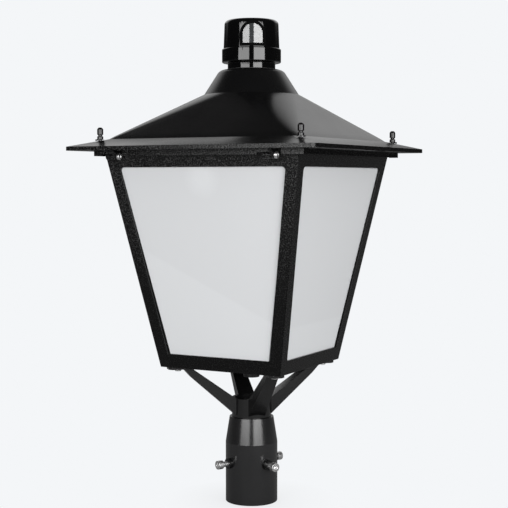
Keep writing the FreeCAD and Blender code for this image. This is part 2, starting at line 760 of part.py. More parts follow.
def roofCanopy():
    """Canopy: a sloping brim, a square that turns into a round towards the cap, and the skirt below."""
    under = value("brimUnderLevel")
    edge = value("brimUnderLevel + brimEdgeThickness")
    fold = value("foldLevel")
    top = value("canopyTopLevel")
    half = value("brimHalf")
    corner = value("brimCorner")
    foldHalf = value("foldHalf")
    foldCorner = value("foldCorner")
    wall = value("canopyWall")
    capRadius = value("capBaseRadius")
    ledge = value("ledgeLevel")
    rim = Part.Face(roundedSquare(half, corner, under)).extrude(Vector(0, 0, edge - under))
    band = Part.makeLoft([roundedSquare(half, corner, edge), roundedSquare(foldHalf, foldCorner, fold)], True, True)
    hood = Part.makeLoft([roundedSquare(foldHalf, foldCorner, fold), splitCircle(capRadius, 46, top)], True, True)
    skirtHalf = value("skirtHalf")
    drop = value("skirtDrop")
    skirt = Part.Face(roundedSquare(skirtHalf, 3, under - drop)).extrude(Vector(0, 0, drop))
    roof = skirt.fuse([rim, band, hood]).removeSplitter()
    inside = value("skirtHalf - skirtWall")
    roof = roof.cut(Part.Face(roundedSquare(inside, 1, under - drop)).extrude(Vector(0, 0, ledge - under + drop)))
    hollow = Part.makeLoft([roundedSquare(foldHalf - 2 * wall, foldCorner, ledge),
                            splitCircle(capRadius - 1.5 * wall, 46, top - wall)], True, True)
    roof = roof.cut(hollow)
    roof = roof.cut(Part.makeCylinder(12, 40, Vector(0, 0, top - 20)))
    wide = value("notchWidth")
    for x0 in (value("lugOffset - notchLead"), value("-lugOffset - boltHeadHeight - notchLead")):
        notch = box(x0, x0 + wide, -skirtHalf - 1, -inside + 2, under - drop - 1, under)
        for cutter in aroundZ(notch, [0, 180]):
            roof = roof.cut(cutter)
    reach = value("studReach")
    for cutter in aroundZ(Part.makeCylinder(value("studRadius") + 0.2, 40, Vector(reach, reach, ledge - 10)), TURN):
        roof = roof.cut(cutter)
    return gathered("roof_canopy", [roof])


def roofCap():
    """Spun cap over the top of the canopy."""
    inner = "(capBaseRadius - capWall * 1.2)"
    innerTop = "(capTopRadius - capWall * 0.6)"
    body = turned("roof_cap", [
        (inner, "canopyTopLevel"), ("capBaseRadius", "canopyTopLevel"), ("capTopRadius", "capTopLevel"),
        ("12", "capTopLevel"), ("12", "capTopLevel - capWall"), (innerTop, "capTopLevel - capWall"),
    ])
    top = value("capTopLevel")
    wide = value("capTopRadius")
    softenEdges(body, lambda e: abs(e.BoundBox.ZMin - top) < 0.01 and abs(e.BoundBox.XMax - wide) < 0.01, "capShoulder")
    return body


def nipple():
    """Threaded tube that ties the cap to the canopy, and its nut below the canopy."""
    top = value("capTopLevel")
    inside = value("canopyTopLevel - canopyWall")
    tube = Part.makeCylinder(11.5, top + 2 - inside + 8, Vector(0, 0, inside - 8))
    tube = tube.cut(Part.makeCylinder(8.5, 200, Vector(0, 0, inside - 20)))
    nut = hexagon(30, 5, Vector(0, 0, inside - 5)).cut(Part.makeCylinder(11.55, 20, Vector(0, 0, inside - 10)))
    return [gathered("roof_nipple", [tube]), gathered("nipple_nut", [nut])]


def bandLevel(half):
    """Height of the brim's upper face at a half width."""
    edge = value("brimUnderLevel + brimEdgeThickness")
    share = (value("brimHalf") - half) / value("brimHalf - foldHalf")
    return edge + share * (value("foldLevel") - edge)


def cornerStuds():
    """Studs with domed caps on the brim's corners, with the washers and the nuts inside."""
    reach = value("studReach")
    level = bandLevel(reach)
    radius = value("studHeadRadius")
    top = level + value("studHeight")
    tray = value("ledgeLevel - trayThickness")
    profile = [(0, tray - 5.5), (2.5, tray - 5.5), (2.5, level + 1.2), (radius, level + 1.2), (radius, level + 5),
               (radius - 1.3, level + 5.6), (radius - 1.3, level + 7), (radius, level + 7.6),
               (radius, top - 2.6), (radius - 1, top - 0.9), (radius - 2.4, top), (0, top)]
    points = [Vector(x, 0, z) for x, z in profile]
    stud = Part.Face(Part.makePolygon(points + points[:1])).revolve(Vector(0, 0, 0), Vector(0, 0, 1), 360)
    stud.translate(Vector(reach, reach, 0))
    washer = Part.makeCylinder(6.7, 2.2, Vector(reach, reach, level - 1.1))
    slope = value("foldLevel - brimUnderLevel - brimEdgeThickness") / value("brimHalf - foldHalf")
    washer = washer.cut(Part.makeCylinder(2.6, 20, Vector(reach, reach, level - 10)))
    below = [Vector(-20, 0, -20), Vector(20, 0, -20), Vector(20, 0, 20 * slope * -1), Vector(-20, 0, 20 * slope)]
    wedge = Part.Face(Part.makePolygon(below + below[:1])).extrude(Vector(0, 60, 0))
    wedge.translate(Vector(reach, reach - 30, level))
    other = wedge.mirror(Vector(0, 0, 0), Vector(1, -1, 0))
    washer = washer.cut(wedge.fuse(other))
    nut = hexagon(8, 4.5, Vector(reach, reach, tray - 4.5))
    nut = nut.cut(Part.makeCylinder(2.55, 20, Vector(reach, reach, tray - 10)))
    return [gathered("corner_studs", aroundZ(stud, TURN)), gathered("stud_washers", aroundZ(washer, TURN)),
            gathered("stud_nuts", aroundZ(nut, TURN))]


# ---------------------------------------------------------------- gear tray

def gearTray():
    """Plate in the roof that carries the light source and the gear."""
    body = newBody("gear_tray")
    half = "(skirtHalf - skirtWall - 0.4)"
    under = "(ledgeLevel - trayThickness)"
    pad(body, outline(body, "XY", [("-" + half, "-" + half), (half, "-" + half), (half, half), ("-" + half, half)],
                      lift=under), "trayThickness")
    hole = cutThrough(body, circleSketch(body, "XY", "studReach", "studReach", "studRadius + 0.2", lift="ledgeLevel + 9"))
    patternRound(body, [hole])
    cutThrough(body, circleSketch(body, "XY", "0", "trayHoleSetback", "trayHoleRadius", lift="ledgeLevel + 9"))
    return body


def lightSource():
    """Board of light-emitting diodes below the tray and its clear cover."""
    tray = value("ledgeLevel - trayThickness")
    half = value("boardHalf")
    thick = value("boardThickness")
    board = box(-half, half, -half, half, tray - thick, tray)
    chips = []
    pitch = half / 2.5
    for row in range(-2, 3):
        for column in range(-2, 3):
            x, y = row * pitch, column * pitch
            chips.append(box(x - 2.5, x + 2.5, y - 2.5, y + 2.5, tray - thick - 1, tray - thick))
    cover = box(-half - 6, half + 6, -half - 6, half + 6, tray - thick - 4.4, tray)
    cover = cover.cut(box(-half - 0.3, half + 0.3, -half - 0.3, half + 0.3, tray - thick - 2.4, tray))
    cover = cover.makeFillet(4, [e for e in cover.Edges if e.BoundBox.ZLength > 5.9])
    return [gathered("led_board", [board]), gathered("led_chips", chips), gathered("led_cover", [cover])]


def gear():
    """Driver, surge protector, terminal block and the screws that hold them on the tray."""
    tray = value("ledgeLevel")
    length = value("driverLength")
    width = value("driverWidth")
    tall = value("driverHeight")
    front = -value("driverSetback")
    middle = front + width / 2
    ear = value("driverEar")
    driver = box(-length / 2, length / 2, front, front + width, tray, tray + tall)
    driver = driver.makeFillet(3, [e for e in driver.Edges if e.BoundBox.ZMin > tray + 1])
    ears = box(-length / 2 - ear, length / 2 + ear, middle - width / 6, middle + width / 6, tray, tray + ear / 6)
    driver = driver.fuse(ears).removeSplitter()
    screws = []
    for x in (-length / 2 - 0.6 * ear, length / 2 + 0.6 * ear):
        driver = driver.cut(Part.makeCylinder(2.2, ear, Vector(x, middle, tray - 1)))
        screw = Part.makeCylinder(2.1, ear / 6, Vector(x, middle, tray))
        screw = screw.fuse(Part.makeCylinder(4, 2.5, Vector(x, middle, tray + ear / 6)))
        screws.append(screw.removeSplitter())
    space = value("gearSpacing")
    surge = box(-space - value("surgeLength"), -space, space, space + value("surgeWidth"), tray, tray + value("surgeHeight"))
    surge = surge.makeFillet(2.5, [e for e in surge.Edges if e.BoundBox.ZMin > tray + 1])
    long = value("terminalLength")
    deep = value("terminalWidth")
    high = value("terminalHeight")
    block = box(space, space + long, space, space + deep, tray, tray + high)
    pitch = long / 5.5
    for i in range(5):
        x = space + (i + 0.75) * pitch
        block = block.cut(Part.makeCylinder(0.28 * pitch, high, Vector(x, space + deep / 2, tray + high / 2)))
        block = block.cut(box(x - 0.28 * pitch, x + 0.28 * pitch, space - 1, space + deep / 4,
                              tray + high / 6, tray + high / 2.3))
    return [gathered("led_driver", [driver]), gathered("driver_screws", screws),
            gathered("surge_protector", [surge]), gathered("terminal_block", [block])]


# ---------------------------------------------------------------- photocell

BLADE_TURNS = (90, 210, 330)
TWIST_ROOM = 20


def arcSlot(radius, thick, first, last, low, high):
    """Curved bar about the Z axis between two angles."""
    ring = Part.makeCylinder(radius + thick / 2, high - low, Vector(0, 0, low), Vector(0, 0, 1), last - first)
    ring = ring.cut(Part.makeCylinder(radius - thick / 2, high - low + 2, Vector(0, 0, low - 1)))
    ring.rotate(Vector(0, 0, 0), Vector(0, 0, 1), first)
    return ring


def receptacle():
    """Socket of the photocell, with three curved slots, on a seal."""
    low = value("capTopLevel")
    top = value("capTopLevel + receptacleHeight")
    rim = value("socketRimRadius")
    seal = Part.makeCylinder(rim, 1, Vector(0, 0, low)).cut(Part.makeCylinder(12, 4, Vector(0, 0, low - 1)))
    housing = Part.makeCylinder(value("receptacleRadius"), top - low - 1, Vector(0, 0, low + 1))
    housing = housing.cut(Part.makeCylinder(12, 2.4, Vector(0, 0, low)))
    circle = value("bladeCircle")
    for turn in BLADE_TURNS:
        housing = housing.cut(arcSlot(circle, value("bladeThickness") + 1, turn - 12, turn + 12 + TWIST_ROOM,
                                      top - value("bladeDepth") - 1, top + 1))
    housing = housing.makeFillet(0.8, [e for e in housing.Edges if abs(e.BoundBox.ZMin - top) < 0.01
                                       and e.BoundBox.XMax > 1.4 * circle])
    return [gathered("receptacle_seal", [seal]), gathered("photocell_receptacle", [housing])]


def archPrism(grow):
    """Arched plug through the cover's side, pointing at -Y before it is turned."""
    half = value("archWidth") / 2 + grow
    low = value("capTopLevel + receptacleHeight + flangeHeight") + 1 - grow
    tall = value("archHeight")
    spring = low + tall - half + 2 * grow
    far = -value("flangeRadius") - 8
    side = Part.LineSegment(Vector(-half, far, low), Vector(half, far, low)).toShape()
    rise = Part.LineSegment(Vector(half, far, low), Vector(half, far, spring)).toShape()
    arch = Part.Arc(Vector(half, far, spring), Vector(0, far, spring + half), Vector(-half, far, spring)).toShape()
    fall = Part.LineSegment(Vector(-half, far, spring), Vector(-half, far, low)).toShape()
    face = Part.Face(Part.Wire([side, rise, arch, fall]))
    return face.extrude(Vector(0, -far - 12, 0))


def coverShell(grow):
    """Outer form of the cover, larger by grow."""
    low = value("capTopLevel + receptacleHeight")
    shoulder = low + value("flangeHeight")
    top = value("coverTopLevel")
    flange = value("flangeRadius") + grow
    radius = value("coverRadius") + grow
    topRadius = value("coverTopRadius") + grow
    points = [Vector(x, 0, z) for x, z in ((0, low), (flange, low), (flange, shoulder), (radius, shoulder),
                                           (topRadius, top + grow), (0, top + grow))]
    solid = Part.Face(Part.makePolygon(points + points[:1])).revolve(Vector(0, 0, 0), Vector(0, 0, 1), 360)
    topEdge = [e for e in solid.Edges if abs(e.BoundBox.ZMin - top - grow) < 0.01 and e.BoundBox.XMax > 30]
    solid = solid.makeFillet(6 + grow, topEdge)
    rimEdges = [e for e in solid.Edges if e.BoundBox.ZLength < 0.01 and abs(e.BoundBox.XMax - flange) < 0.01]
    return solid.makeFillet(1.5, rimEdges)


def photocell():
    """Cover with its arched lens, base with three blades, circuit board and light sensor."""
    low = value("capTopLevel + receptacleHeight")
    wall = value("coverWall")
    turn = value("windowAngle")
    cover = coverShell(0).cut(coverShell(-wall).translated(Vector(0, 0, -1)))
    cover = cover.cut(Part.makeCylinder(value("flangeRadius") - wall, 6, Vector(0, 0, low - 1)))
    opening = aroundZ(archPrism(0.2), [turn])[0]
    cover = cover.cut(opening)
    lens = coverShell(0.5).cut(coverShell(-wall + 0.4)).common(aroundZ(archPrism(0), [turn])[0])
    lens = max(lens.Solids, key=lambda s: s.Volume)
    baseRadius = value("flangeRadius") - wall - 0.3
    floor = value("cellBaseThickness")
    circle = value("bladeCircle")
    thick = value("bladeThickness")
    base = Part.makeCylinder(baseRadius, floor, Vector(0, 0, low))
    blades = []
    for angle in BLADE_TURNS:
        base = base.cut(arcSlot(circle, thick + 0.1, angle - 10.5, angle + 10.5, low - 1, low + floor + 1))
        blades.append(arcSlot(circle, thick, angle - 10, angle + 10,
                              low - value("bladeDepth"), low + floor + value("cellPostHeight") - 0.3))
    under = low + floor + value("cellPostHeight")
    boardRadius = value("cellBoardRadius")
    board = Part.makeCylinder(boardRadius, value("cellBoardThickness"), Vector(0, 0, under))
    post = Part.makeCylinder(value("cellPostRadius"), value("cellPostHeight"), Vector(0, 0, low + floor))
    above = under + value("cellBoardThickness")
    seatHalf = value("sensorSeatHalf")
    seatHeight = value("sensorSeatHeight")
    seat = box(-seatHalf, seatHalf, -boardRadius, value("sensorSeatThickness") - boardRadius, above, above + seatHeight)
    sensor = Part.makeCylinder(value("sensorRadius"), 0.6 * value("sensorRadius"),
                               Vector(0, -boardRadius - 0.2, above + 0.7 * seatHeight), Vector(0, -1, 0))
    sensorSeat = aroundZ(seat, [turn])[0]
    sensor = aroundZ(sensor, [turn])[0]
    return [gathered("photocell_cover", [cover]), gathered("photocell_lens", [lens]),
            gathered("photocell_base", [base.fuse(post).removeSplitter()]), gathered("photocell_blades", blades),
            gathered("photocell_board", [board, sensorSeat]), gathered("light_sensor", [sensor])]


# ---------------------------------------------------------------- assembly and export

def build():
    pieces = [poleSleeve(), clampNuts(), armSpider(), footScrews(), footNuts()]
    pieces += clampScrews()
    for side, turn in zip(SIDES, TURN):
        pieces += [sideFrame(side, turn), sidePanel(side, turn), panelSeal(side, turn)]
    pieces += [cornerBraces(), basePlate(), roofSeal()]
    pieces += panelClips() + cableGland()
    pieces += [frameLugs("hinge_frame_lugs", False), frameLugs("clamp_frame_lugs", True)]
    pieces += [roofLugs("hinge_roof_lugs", 0), roofLugs("clamp_roof_lugs", 180)] + lugBolts()
    pieces += [roofCanopy(), roofCap(), gearTray()] + nipple() + cornerStuds()
    pieces += lightSource() + gear() + receptacle() + photocell()
    return pieces


def export(pieces):
    doc.recompute()
    for item in doc.Objects:
        if "Invalid" in item.State or "Error" in item.State:
            raise ValueError("%s: %s" % (item.Label, item.State))
    for piece in pieces:
        if piece.Shape.isNull() or not piece.Shape.isValid() or not piece.Shape.Solids:
            raise ValueError(piece.Label + ": no valid solid")
    os.makedirs("parts", exist_ok=True)
    for piece in pieces:
        piece.Shape.exportStep("parts/%s.step" % piece.Label)
        bounds = piece.Shape.BoundBox
        print("%-22s %2d solid(s) %10.0f mm3  z %.1f to %.1f" % (
            piece.Label, len(piece.Shape.Solids), piece.Shape.Volume, bounds.ZMin, bounds.ZMax))


export(build())
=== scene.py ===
import bpy
import bmesh
import json
import math
from mathutils import Matrix, Vector


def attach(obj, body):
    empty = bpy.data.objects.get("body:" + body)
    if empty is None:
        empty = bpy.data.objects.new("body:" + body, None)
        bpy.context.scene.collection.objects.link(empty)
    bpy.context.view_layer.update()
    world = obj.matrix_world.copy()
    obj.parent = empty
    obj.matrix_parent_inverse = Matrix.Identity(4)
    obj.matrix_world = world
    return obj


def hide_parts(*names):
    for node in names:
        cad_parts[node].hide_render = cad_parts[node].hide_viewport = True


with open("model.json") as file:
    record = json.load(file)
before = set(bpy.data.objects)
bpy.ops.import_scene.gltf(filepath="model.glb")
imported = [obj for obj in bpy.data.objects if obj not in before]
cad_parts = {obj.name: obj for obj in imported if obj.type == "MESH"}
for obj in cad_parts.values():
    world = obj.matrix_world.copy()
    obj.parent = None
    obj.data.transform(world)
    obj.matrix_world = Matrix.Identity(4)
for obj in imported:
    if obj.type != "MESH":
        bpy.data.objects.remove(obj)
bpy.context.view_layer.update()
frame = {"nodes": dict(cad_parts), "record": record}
nodes = frame["nodes"]
bodies = frame["record"]["behaviour"]["bodies"]
bodyOfNode = {node: body for body, members in bodies.items() for node in members}
slotOfNode = {row["node"]: row["material_slot"] for row in frame["record"]["subparts"]}
scene = bpy.context.scene
mm = 0.001
print("frame loaded:", len(nodes), "nodes")


# shader helpers

# a socket that Python maths can be written on
class Value:
    def __init__(self, shader, socket):
        self.shader = shader
        self.socket = socket

    def math(self, operation, other=None, swapped=False):
        values = [self, other] if other is not None else [self]
        if swapped:
            values.reverse()
        return self.shader.node("ShaderNodeMath", {"operation": operation}, dict(enumerate(values)))

    def __add__(self, other):
        return self.math("ADD", other)

    __radd__ = __add__

    def __mul__(self, other):
        return self.math("MULTIPLY", other)

    __rmul__ = __mul__

    def __sub__(self, other):
        return self.math("SUBTRACT", other)

    def __rsub__(self, other):
        return self.math("SUBTRACT", other, swapped=True)


# one material and its Principled node
class Shader:
    def __init__(self, name, **settings):
        self.material = bpy.data.materials.new(name)
        self.material.use_nodes = True
        self.tree = self.material.node_tree
        self.principled = self.tree.nodes["Principled BSDF"]
        for label, value in settings.items():
            self.principled.inputs[label.replace("_", " ")].default_value = value
        self.place = self.node("ShaderNodeTexCoord", {}, {}, "Object")

    def node(self, kind, settings, inputs, output=0):
        made = self.tree.nodes.new(kind)
        for label, value in settings.items():
            setattr(made, label, value)
        for label, value in inputs.items():
            if isinstance(value, Value):
                self.tree.links.new(value.socket, made.inputs[label])
            else:
                made.inputs[label].default_value = value
        return Value(self, made.outputs[output])

    def feed(self, label, value):
        self.tree.links.new(value.socket, self.principled.inputs[label])

    def noise(self, scale, detail=2.0):
        return self.node("ShaderNodeTexNoise", {}, {
            "Vector": self.place, "Scale": scale, "Detail": detail, "Roughness": 0.5}, "Fac")

    def cells(self, scale):
        return self.node("ShaderNodeTexVoronoi", {"feature": "F1"}, {
            "Vector": self.place, "Scale": scale}, "Distance")

    def measure(self, operation, vector):
        return self.node("ShaderNodeVectorMath", {"operation": operation}, {
            0: self.place, 1: vector}, "Value")

    def ramp(self, factor, low, high, lowValue=0.0, highValue=1.0):
        return self.node("ShaderNodeMapRange", {"clamp": True}, {
            "Value": factor, "From Min": low, "From Max": high, "To Min": lowValue, "To Max": highValue})

    def mix(self, factor, first, second):
        return self.node("ShaderNodeMix", {"data_type": "RGBA"}, {0: factor, 6: first, 7: second}, 2)

    def bump(self, height, strength, distance):
        self.feed("Normal", self.node("ShaderNodeBump", {}, {
            "Height": height, "Strength": strength, "Distance": distance}, "Normal"))

    def axis(self, label):
        return self.node("ShaderNodeSeparateXYZ", {}, {0: self.place}, label)


def grey(level, blue=1.0):
    return (level, level, level * blue, 1)


# finishes

# the height and side entries set where the flecks show painted sparkle
powder = {
    "colour": 0.0018, "fleckAndSparkle": 0.05, "tint": 1.06, "roughness": 0.24, "gloss": 0.28,
    "grain": 640, "pebble": 330, "pebbleShare": 0.35, "depth": 0.0003,
    "sparkleLeastBelow": 0.3, "sparkleFullAbove": 0.44, "leastSparkle": 0.1, "seam": 0.001, "fleckRun": (0.5, 0.7),
}


# black powder coat with a hammered texture; its flecks carry painted sparkle, strongest high up and on the
# front and left
def powderCoat(name):
    shader = Shader(name, Specular_IOR_Level=powder["gloss"])
    pebble = shader.cells(powder["pebble"])
    grain = shader.noise(powder["grain"], 1)
    height, across, along = (shader.axis(label) for label in ("Z", "X", "Y"))
    least, seam = powder["leastSparkle"], powder["seam"]
    # painted sparkle mask: the flecks glint fully high up and on the front and left, and least low down and
    # on the right and back
    paintedSparkle = shader.ramp(height, powder["sparkleLeastBelow"], powder["sparkleFullAbove"], least, 1)
    paintedSparkle = paintedSparkle * shader.ramp(across + along, -seam, seam, 1, least)
    fleckAndSparkle = shader.ramp(grain, *powder["fleckRun"]) * paintedSparkle
    plain = grey(powder["colour"], powder["tint"])
    shader.feed("Base Color", shader.mix(fleckAndSparkle, plain, grey(powder["fleckAndSparkle"])))
    base = powder["roughness"]
    shader.feed("Roughness", shader.ramp(grain, 0.3, 0.7, base - 0.05, base + 0.06))
    shader.bump(pebble * powder["pebbleShare"] + grain, 1.0, powder["depth"])
    return shader.material


# smooth black coat with faint clouds in its gloss
def satinCoat(name, roughness=0.25, level=0.002, gloss=0.5):
    shader = Shader(name, Specular_IOR_Level=gloss)
    cloud = shader.noise(14, 3)
    grain = shader.noise(1500, 2)
    shader.feed("Base Color", shader.mix(cloud, grey(level, 1.05), grey(level * 2, 1.05)))
    shader.feed("Roughness", shader.ramp(cloud, 0.3, 0.7, roughness, roughness + 0.05))
    shader.bump(grain, 0.08, 0.0001)
    return shader.material


# moulded plastic or smooth steel under a clear coat
def glossPlastic(name, level, roughness, coat, gleam):
    shader = Shader(name, Specular_IOR_Level=gleam, Coat_Weight=coat, Coat_Roughness=0.03, Coat_IOR=1.5)
    cloud = shader.noise(30, 2)
    peel = shader.noise(260, 2)
    shader.feed("Base Color", shader.mix(cloud, grey(level, 1.08), grey(level * 1.9, 1.08)))
    shader.feed("Roughness", shader.ramp(cloud, 0.3, 0.7, roughness, roughness + 0.08))
    shader.bump(peel, 0.05, 0.0001)
    return shader.material


# lengths in metres; the painted reflection spot lies on the front pane, the painted reflection step slants on
# through the others
opalPlan = {
    # shaded and lit colours of the same opal, mixed for the painted shade and painted reflections
    "opalShaded": (0.4, 0.4, 0.412, 1), "bright": (0.69, 0.703, 0.717, 1),
    "low": 0.2, "high": 0.5, "highShade": 0.86,
    "reflectionSpot": (0, -0.1385, 0.468), "reflectionSpotRun": (0.004, 0.03), "reflectionSpotGain": 0.22,
    "slope": -0.492, "level": 0.3176, "reflectionStepRun": (-0.001, 0.004), "reflectionStepGain": 0.04,
}


# opal acrylic: milky, softly glossy, with painted shade that makes it a little brighter towards the bottom
def opalSheet(name):
    shader = Shader(name, Specular_IOR_Level=0.5, Roughness=0.3)
    height = shader.axis("Z")
    cloud = shader.noise(6, 2)
    # painted shade: lighter low down, darker high up
    toneAndPaintedLight = shader.ramp(height, opalPlan["low"], opalPlan["high"], 1.0, opalPlan["highShade"])
    toneAndPaintedLight = toneAndPaintedLight * shader.ramp(cloud, 0.3, 0.7, 0.985, 1.0)
    reflectionSpot = shader.measure("DISTANCE", opalPlan["reflectionSpot"])
    belowReflectionStep = shader.axis("X") * opalPlan["slope"] + opalPlan["level"] - height
    gain = opalPlan["reflectionStepGain"]
    # painted reflection: a soft bright spot on the front pane
    toneAndPaintedLight = toneAndPaintedLight + shader.ramp(reflectionSpot, *opalPlan["reflectionSpotRun"], opalPlan["reflectionSpotGain"], 0)
    # painted reflection: a slanting step, lighter below its line and darker above
    toneAndPaintedLight = toneAndPaintedLight + shader.ramp(belowReflectionStep, *opalPlan["reflectionStepRun"], -gain, gain)
    # the mix runs from the shaded to the lit opal colour, so the painted light sets the pane's colour
    shader.feed("Base Color", shader.mix(toneAndPaintedLight, opalPlan["opalShaded"], opalPlan["bright"]))
    shader.feed("Roughness", shader.ramp(cloud, 0.3, 0.7, 0.28, 0.36))
    return shader.material


# turned metal with faint tool marks
def bareMetal(name, level, roughness, tint=1.0):
    shader = Shader(name, Metallic=1.0)
    marks = shader.noise(700, 3)
    cloud = shader.noise(60, 2)
    shader.feed("Base Color", shader.mix(cloud, grey(level * 0.86, tint), grey(level, tint)))
    shader.feed("Roughness", shader.ramp(marks, 0.3, 0.7, roughness - 0.05, roughness + 0.08))
    shader.bump(marks, 0.1, 0.0001)
    return shader.material


# matt plastic or rubber with a faint grain
def mattPlastic(name, colour, roughness=0.55):
    shader = Shader(name)
    cloud = shader.noise(40, 3)
    dark = tuple(part * 0.82 for part in colour) + (1,)
    shader.feed("Base Color", shader.mix(cloud, dark, colour + (1,)))
    shader.feed("Roughness", shader.ramp(cloud, 0.3, 0.7, roughness - 0.05, roughness + 0.08))
    shader.bump(shader.noise(900, 2), 0.15, 0.0001)
    return shader.material


# see-through plastic of the photocell's window and the light source's cover
def clearPlastic(name, colour, roughness=0.05, weight=1.0, coat=0.0):
    shader = Shader(
        name, Transmission_Weight=weight, IOR=1.49, Coat_Weight=coat, Coat_Roughness=0.03, Coat_IOR=1.8)
    cloud = shader.noise(25, 2)
    dark = tuple(part * 0.93 for part in colour) + (1,)
    shader.feed("Base Color", shader.mix(cloud, colour + (1,), dark))
    shader.feed("Roughness", shader.ramp(cloud, 0.3, 0.7, roughness, roughness + 0.04))
    return shader.material


# green board with a grid of lanes
def circuitBoard(name):
    shader = Shader(name)
    lanes = shader.node("ShaderNodeTexBrick", {}, {
        "Vector": shader.place, "Scale": 90, "Mortar Size": 0.03}, "Fac")
    shader.feed("Base Color", shader.mix(lanes, (0.01, 0.10, 0.04, 1), (0.04, 0.22, 0.09, 1)))
    shader.feed("Roughness", shader.ramp(lanes, 0, 1, 0.35, 0.5))
    return shader.material


finishes = {
    "black_coat": powderCoat("powderCoat"),
    "cap_coat": satinCoat("capCoat"),
    "stainless": bareMetal("stainless", 0.92, 0.34),
    "black_steel": glossPlastic("blackSteel", 0.0025, 0.16, 0.0, 0.5),
    "zinc": bareMetal("zinc", 0.55, 0.35, 0.95),
    "opal": opalSheet("opalAcrylic"),
    "seal_rubber": mattPlastic("sealRubber", (0.02, 0.02, 0.021), 0.7),
    "tray_metal": bareMetal("trayAluminium", 0.7, 0.38),
    "board_white": mattPlastic("boardWhite", (0.78, 0.78, 0.76), 0.4),
    "led_phosphor": mattPlastic("ledPhosphor", (0.85, 0.62, 0.08), 0.4),
    "clear_cover": clearPlastic("clearCover", (0.95, 0.96, 0.97)),
    "gear_case": mattPlastic("gearCase", (0.72, 0.73, 0.73), 0.4),
    "gear_plastic": mattPlastic("gearPlastic", (0.03, 0.03, 0.033)),
    "terminal_plastic": mattPlastic("terminalPlastic", (0.66, 0.63, 0.54)),
    "gland_plastic": mattPlastic("glandPlastic", (0.02, 0.02, 0.02), 0.45),
    "cell_plastic": glossPlastic("cellPlastic", 0.0012, 0.05, 0.75, 0.2),
    "cell_lens": clearPlastic("cellLens", (0.12, 0.125, 0.13), 0.03, 0.7, 0.6),
    "blade_brass": bareMetal("bladeBrass", 0.7, 0.3, 0.45),
    "board_green": circuitBoard("boardGreen"),
}
# single pieces that differ from their slot's finish
ownFinish = {
    "roof_canopy": satinCoat("roofCoat", 0.21),
    "arm_spider": satinCoat("armCoat", 0.17, 0.004, 0.7),
    "pole_sleeve": satinCoat("sleeveCoat", 0.2, 0.008, 0.8),
    # matt black rim: painted shade of the recess round the photocell's window
    "lens_rim": glossPlastic("rimPaintedShadePlastic", 0.0012, 0.7, 0.0, 0.05),
}
print("finishes made:", len(finishes) + len(ownFinish))


# refined copies of the CAD solids: merged, flat faces joined, edges eased

easing = {
    "default": 0.5, "roof_canopy": 0.9, "arm_spider": 1.6, "pole_sleeve": 0.6,
    "hinge_bolts": 0.25, "clamp_bolt_left": 0.25, "clamp_bolt_right": 0.25,
    "front_frame": 0.9, "right_frame": 0.9, "back_frame": 0.9, "left_frame": 0.9,
    "hinge_frame_lugs": 0.6, "hinge_roof_lugs": 0.5, "led_chips": 0.2, "panel_clips": 0.3,
    "panel_clip_screws": 0.3, "photocell_lens": 0.2, "stud_washers": 0.15, "corner_studs": 0.25,
}
# these keep the CAD's own meshes
plainNodes = ["photocell_blades", "gland_seal", "receptacle_seal"]
sideNames = ["front", "right", "back", "left"]
meshPlan = {
    "merge": 2e-6, "flat": 0.6, "smooth": 24, "eased": 28, "segments": 2, "shellSmooth": 40,
    "creaseLevel": {"pole_sleeve": 87}, "skirtTop": 510.1,
}
bodyPlan = {
    "low": 200.7, "high": 506, "lowHalf": 94.8, "highHalf": 150.2, "stile": 19,
    "windowLow": 220.5, "windowHigh": 482, "windowSpread": 1.3, "spreadBand": (-2, 7), "spreadSlack": 1,
}
screwPlan = {
    "angle": -26.6, "undersides": (54, 54.5, 47, 50), "headGain": 2.5, "nutFace": 40.5, "nutGain": 1.8,
    "slack": 0.06,
}


# dress a piece and let it ride and stand for a node
def standFor(piece, node, finish):
    piece.data.materials.append(finish)
    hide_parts(node)
    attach(piece, bodyOfNode[node])


# an object in the scene from finished bmesh work
def pieceFrom(work, name):
    mesh = bpy.data.meshes.new(name)
    work.to_mesh(mesh)
    work.free()
    piece = bpy.data.objects.new(name, mesh)
    scene.collection.objects.link(piece)
    return piece


def turned(angle):
    return Matrix.Rotation(math.radians(angle), 3, "Z")


def between(first, last, share):
    return first + share * (last - first)


# half width of the tapered body at a level, in millimetres
def halfAt(level):
    share = (level - bodyPlan["low"]) / (bodyPlan["high"] - bodyPlan["low"])
    return between(bodyPlan["lowHalf"], bodyPlan["highHalf"], share)


# how far the window's side is moved outward at a level
def windowShift(level):
    middle = (bodyPlan["windowLow"] + bodyPlan["windowHigh"]) / 2
    return bodyPlan["windowSpread"] * (level - middle) / (bodyPlan["windowHigh"] - middle)


# slant the sides of a frame's window
def spreadWindow(work, quarter):
    turn = turned(90 * quarter)
    slack = bodyPlan["spreadSlack"]
    nearest, furthest = (bodyPlan["stile"] + step for step in bodyPlan["spreadBand"])
    for vert in work.verts:
        place = turn.inverted() @ vert.co / mm
        gap = halfAt(place.z) - abs(place.x)
        inWindow = bodyPlan["windowLow"] - slack < place.z < bodyPlan["windowHigh"] + slack
        if inWindow and nearest < gap < furthest:
            place.x += math.copysign(windowShift(place.z), place.x)
            vert.co = turn @ place * mm


# longer heads on the sleeve's screws and taller lock nuts
def stretchScrews(work, node):
    for quarter, underside in enumerate(screwPlan["undersides"]):
        angle = math.radians(screwPlan["angle"] + 90 * quarter)
        out = Vector((math.sin(angle), -math.cos(angle), 0))
        face, gain = underside, -screwPlan["headGain"]
        if node == "clamp_nuts":
            face, gain = screwPlan["nutFace"], screwPlan["nutGain"]
        for vert in work.verts:
            if abs(vert.co.dot(out) / mm - face) < screwPlan["slack"]:
                vert.co += out * gain * mm


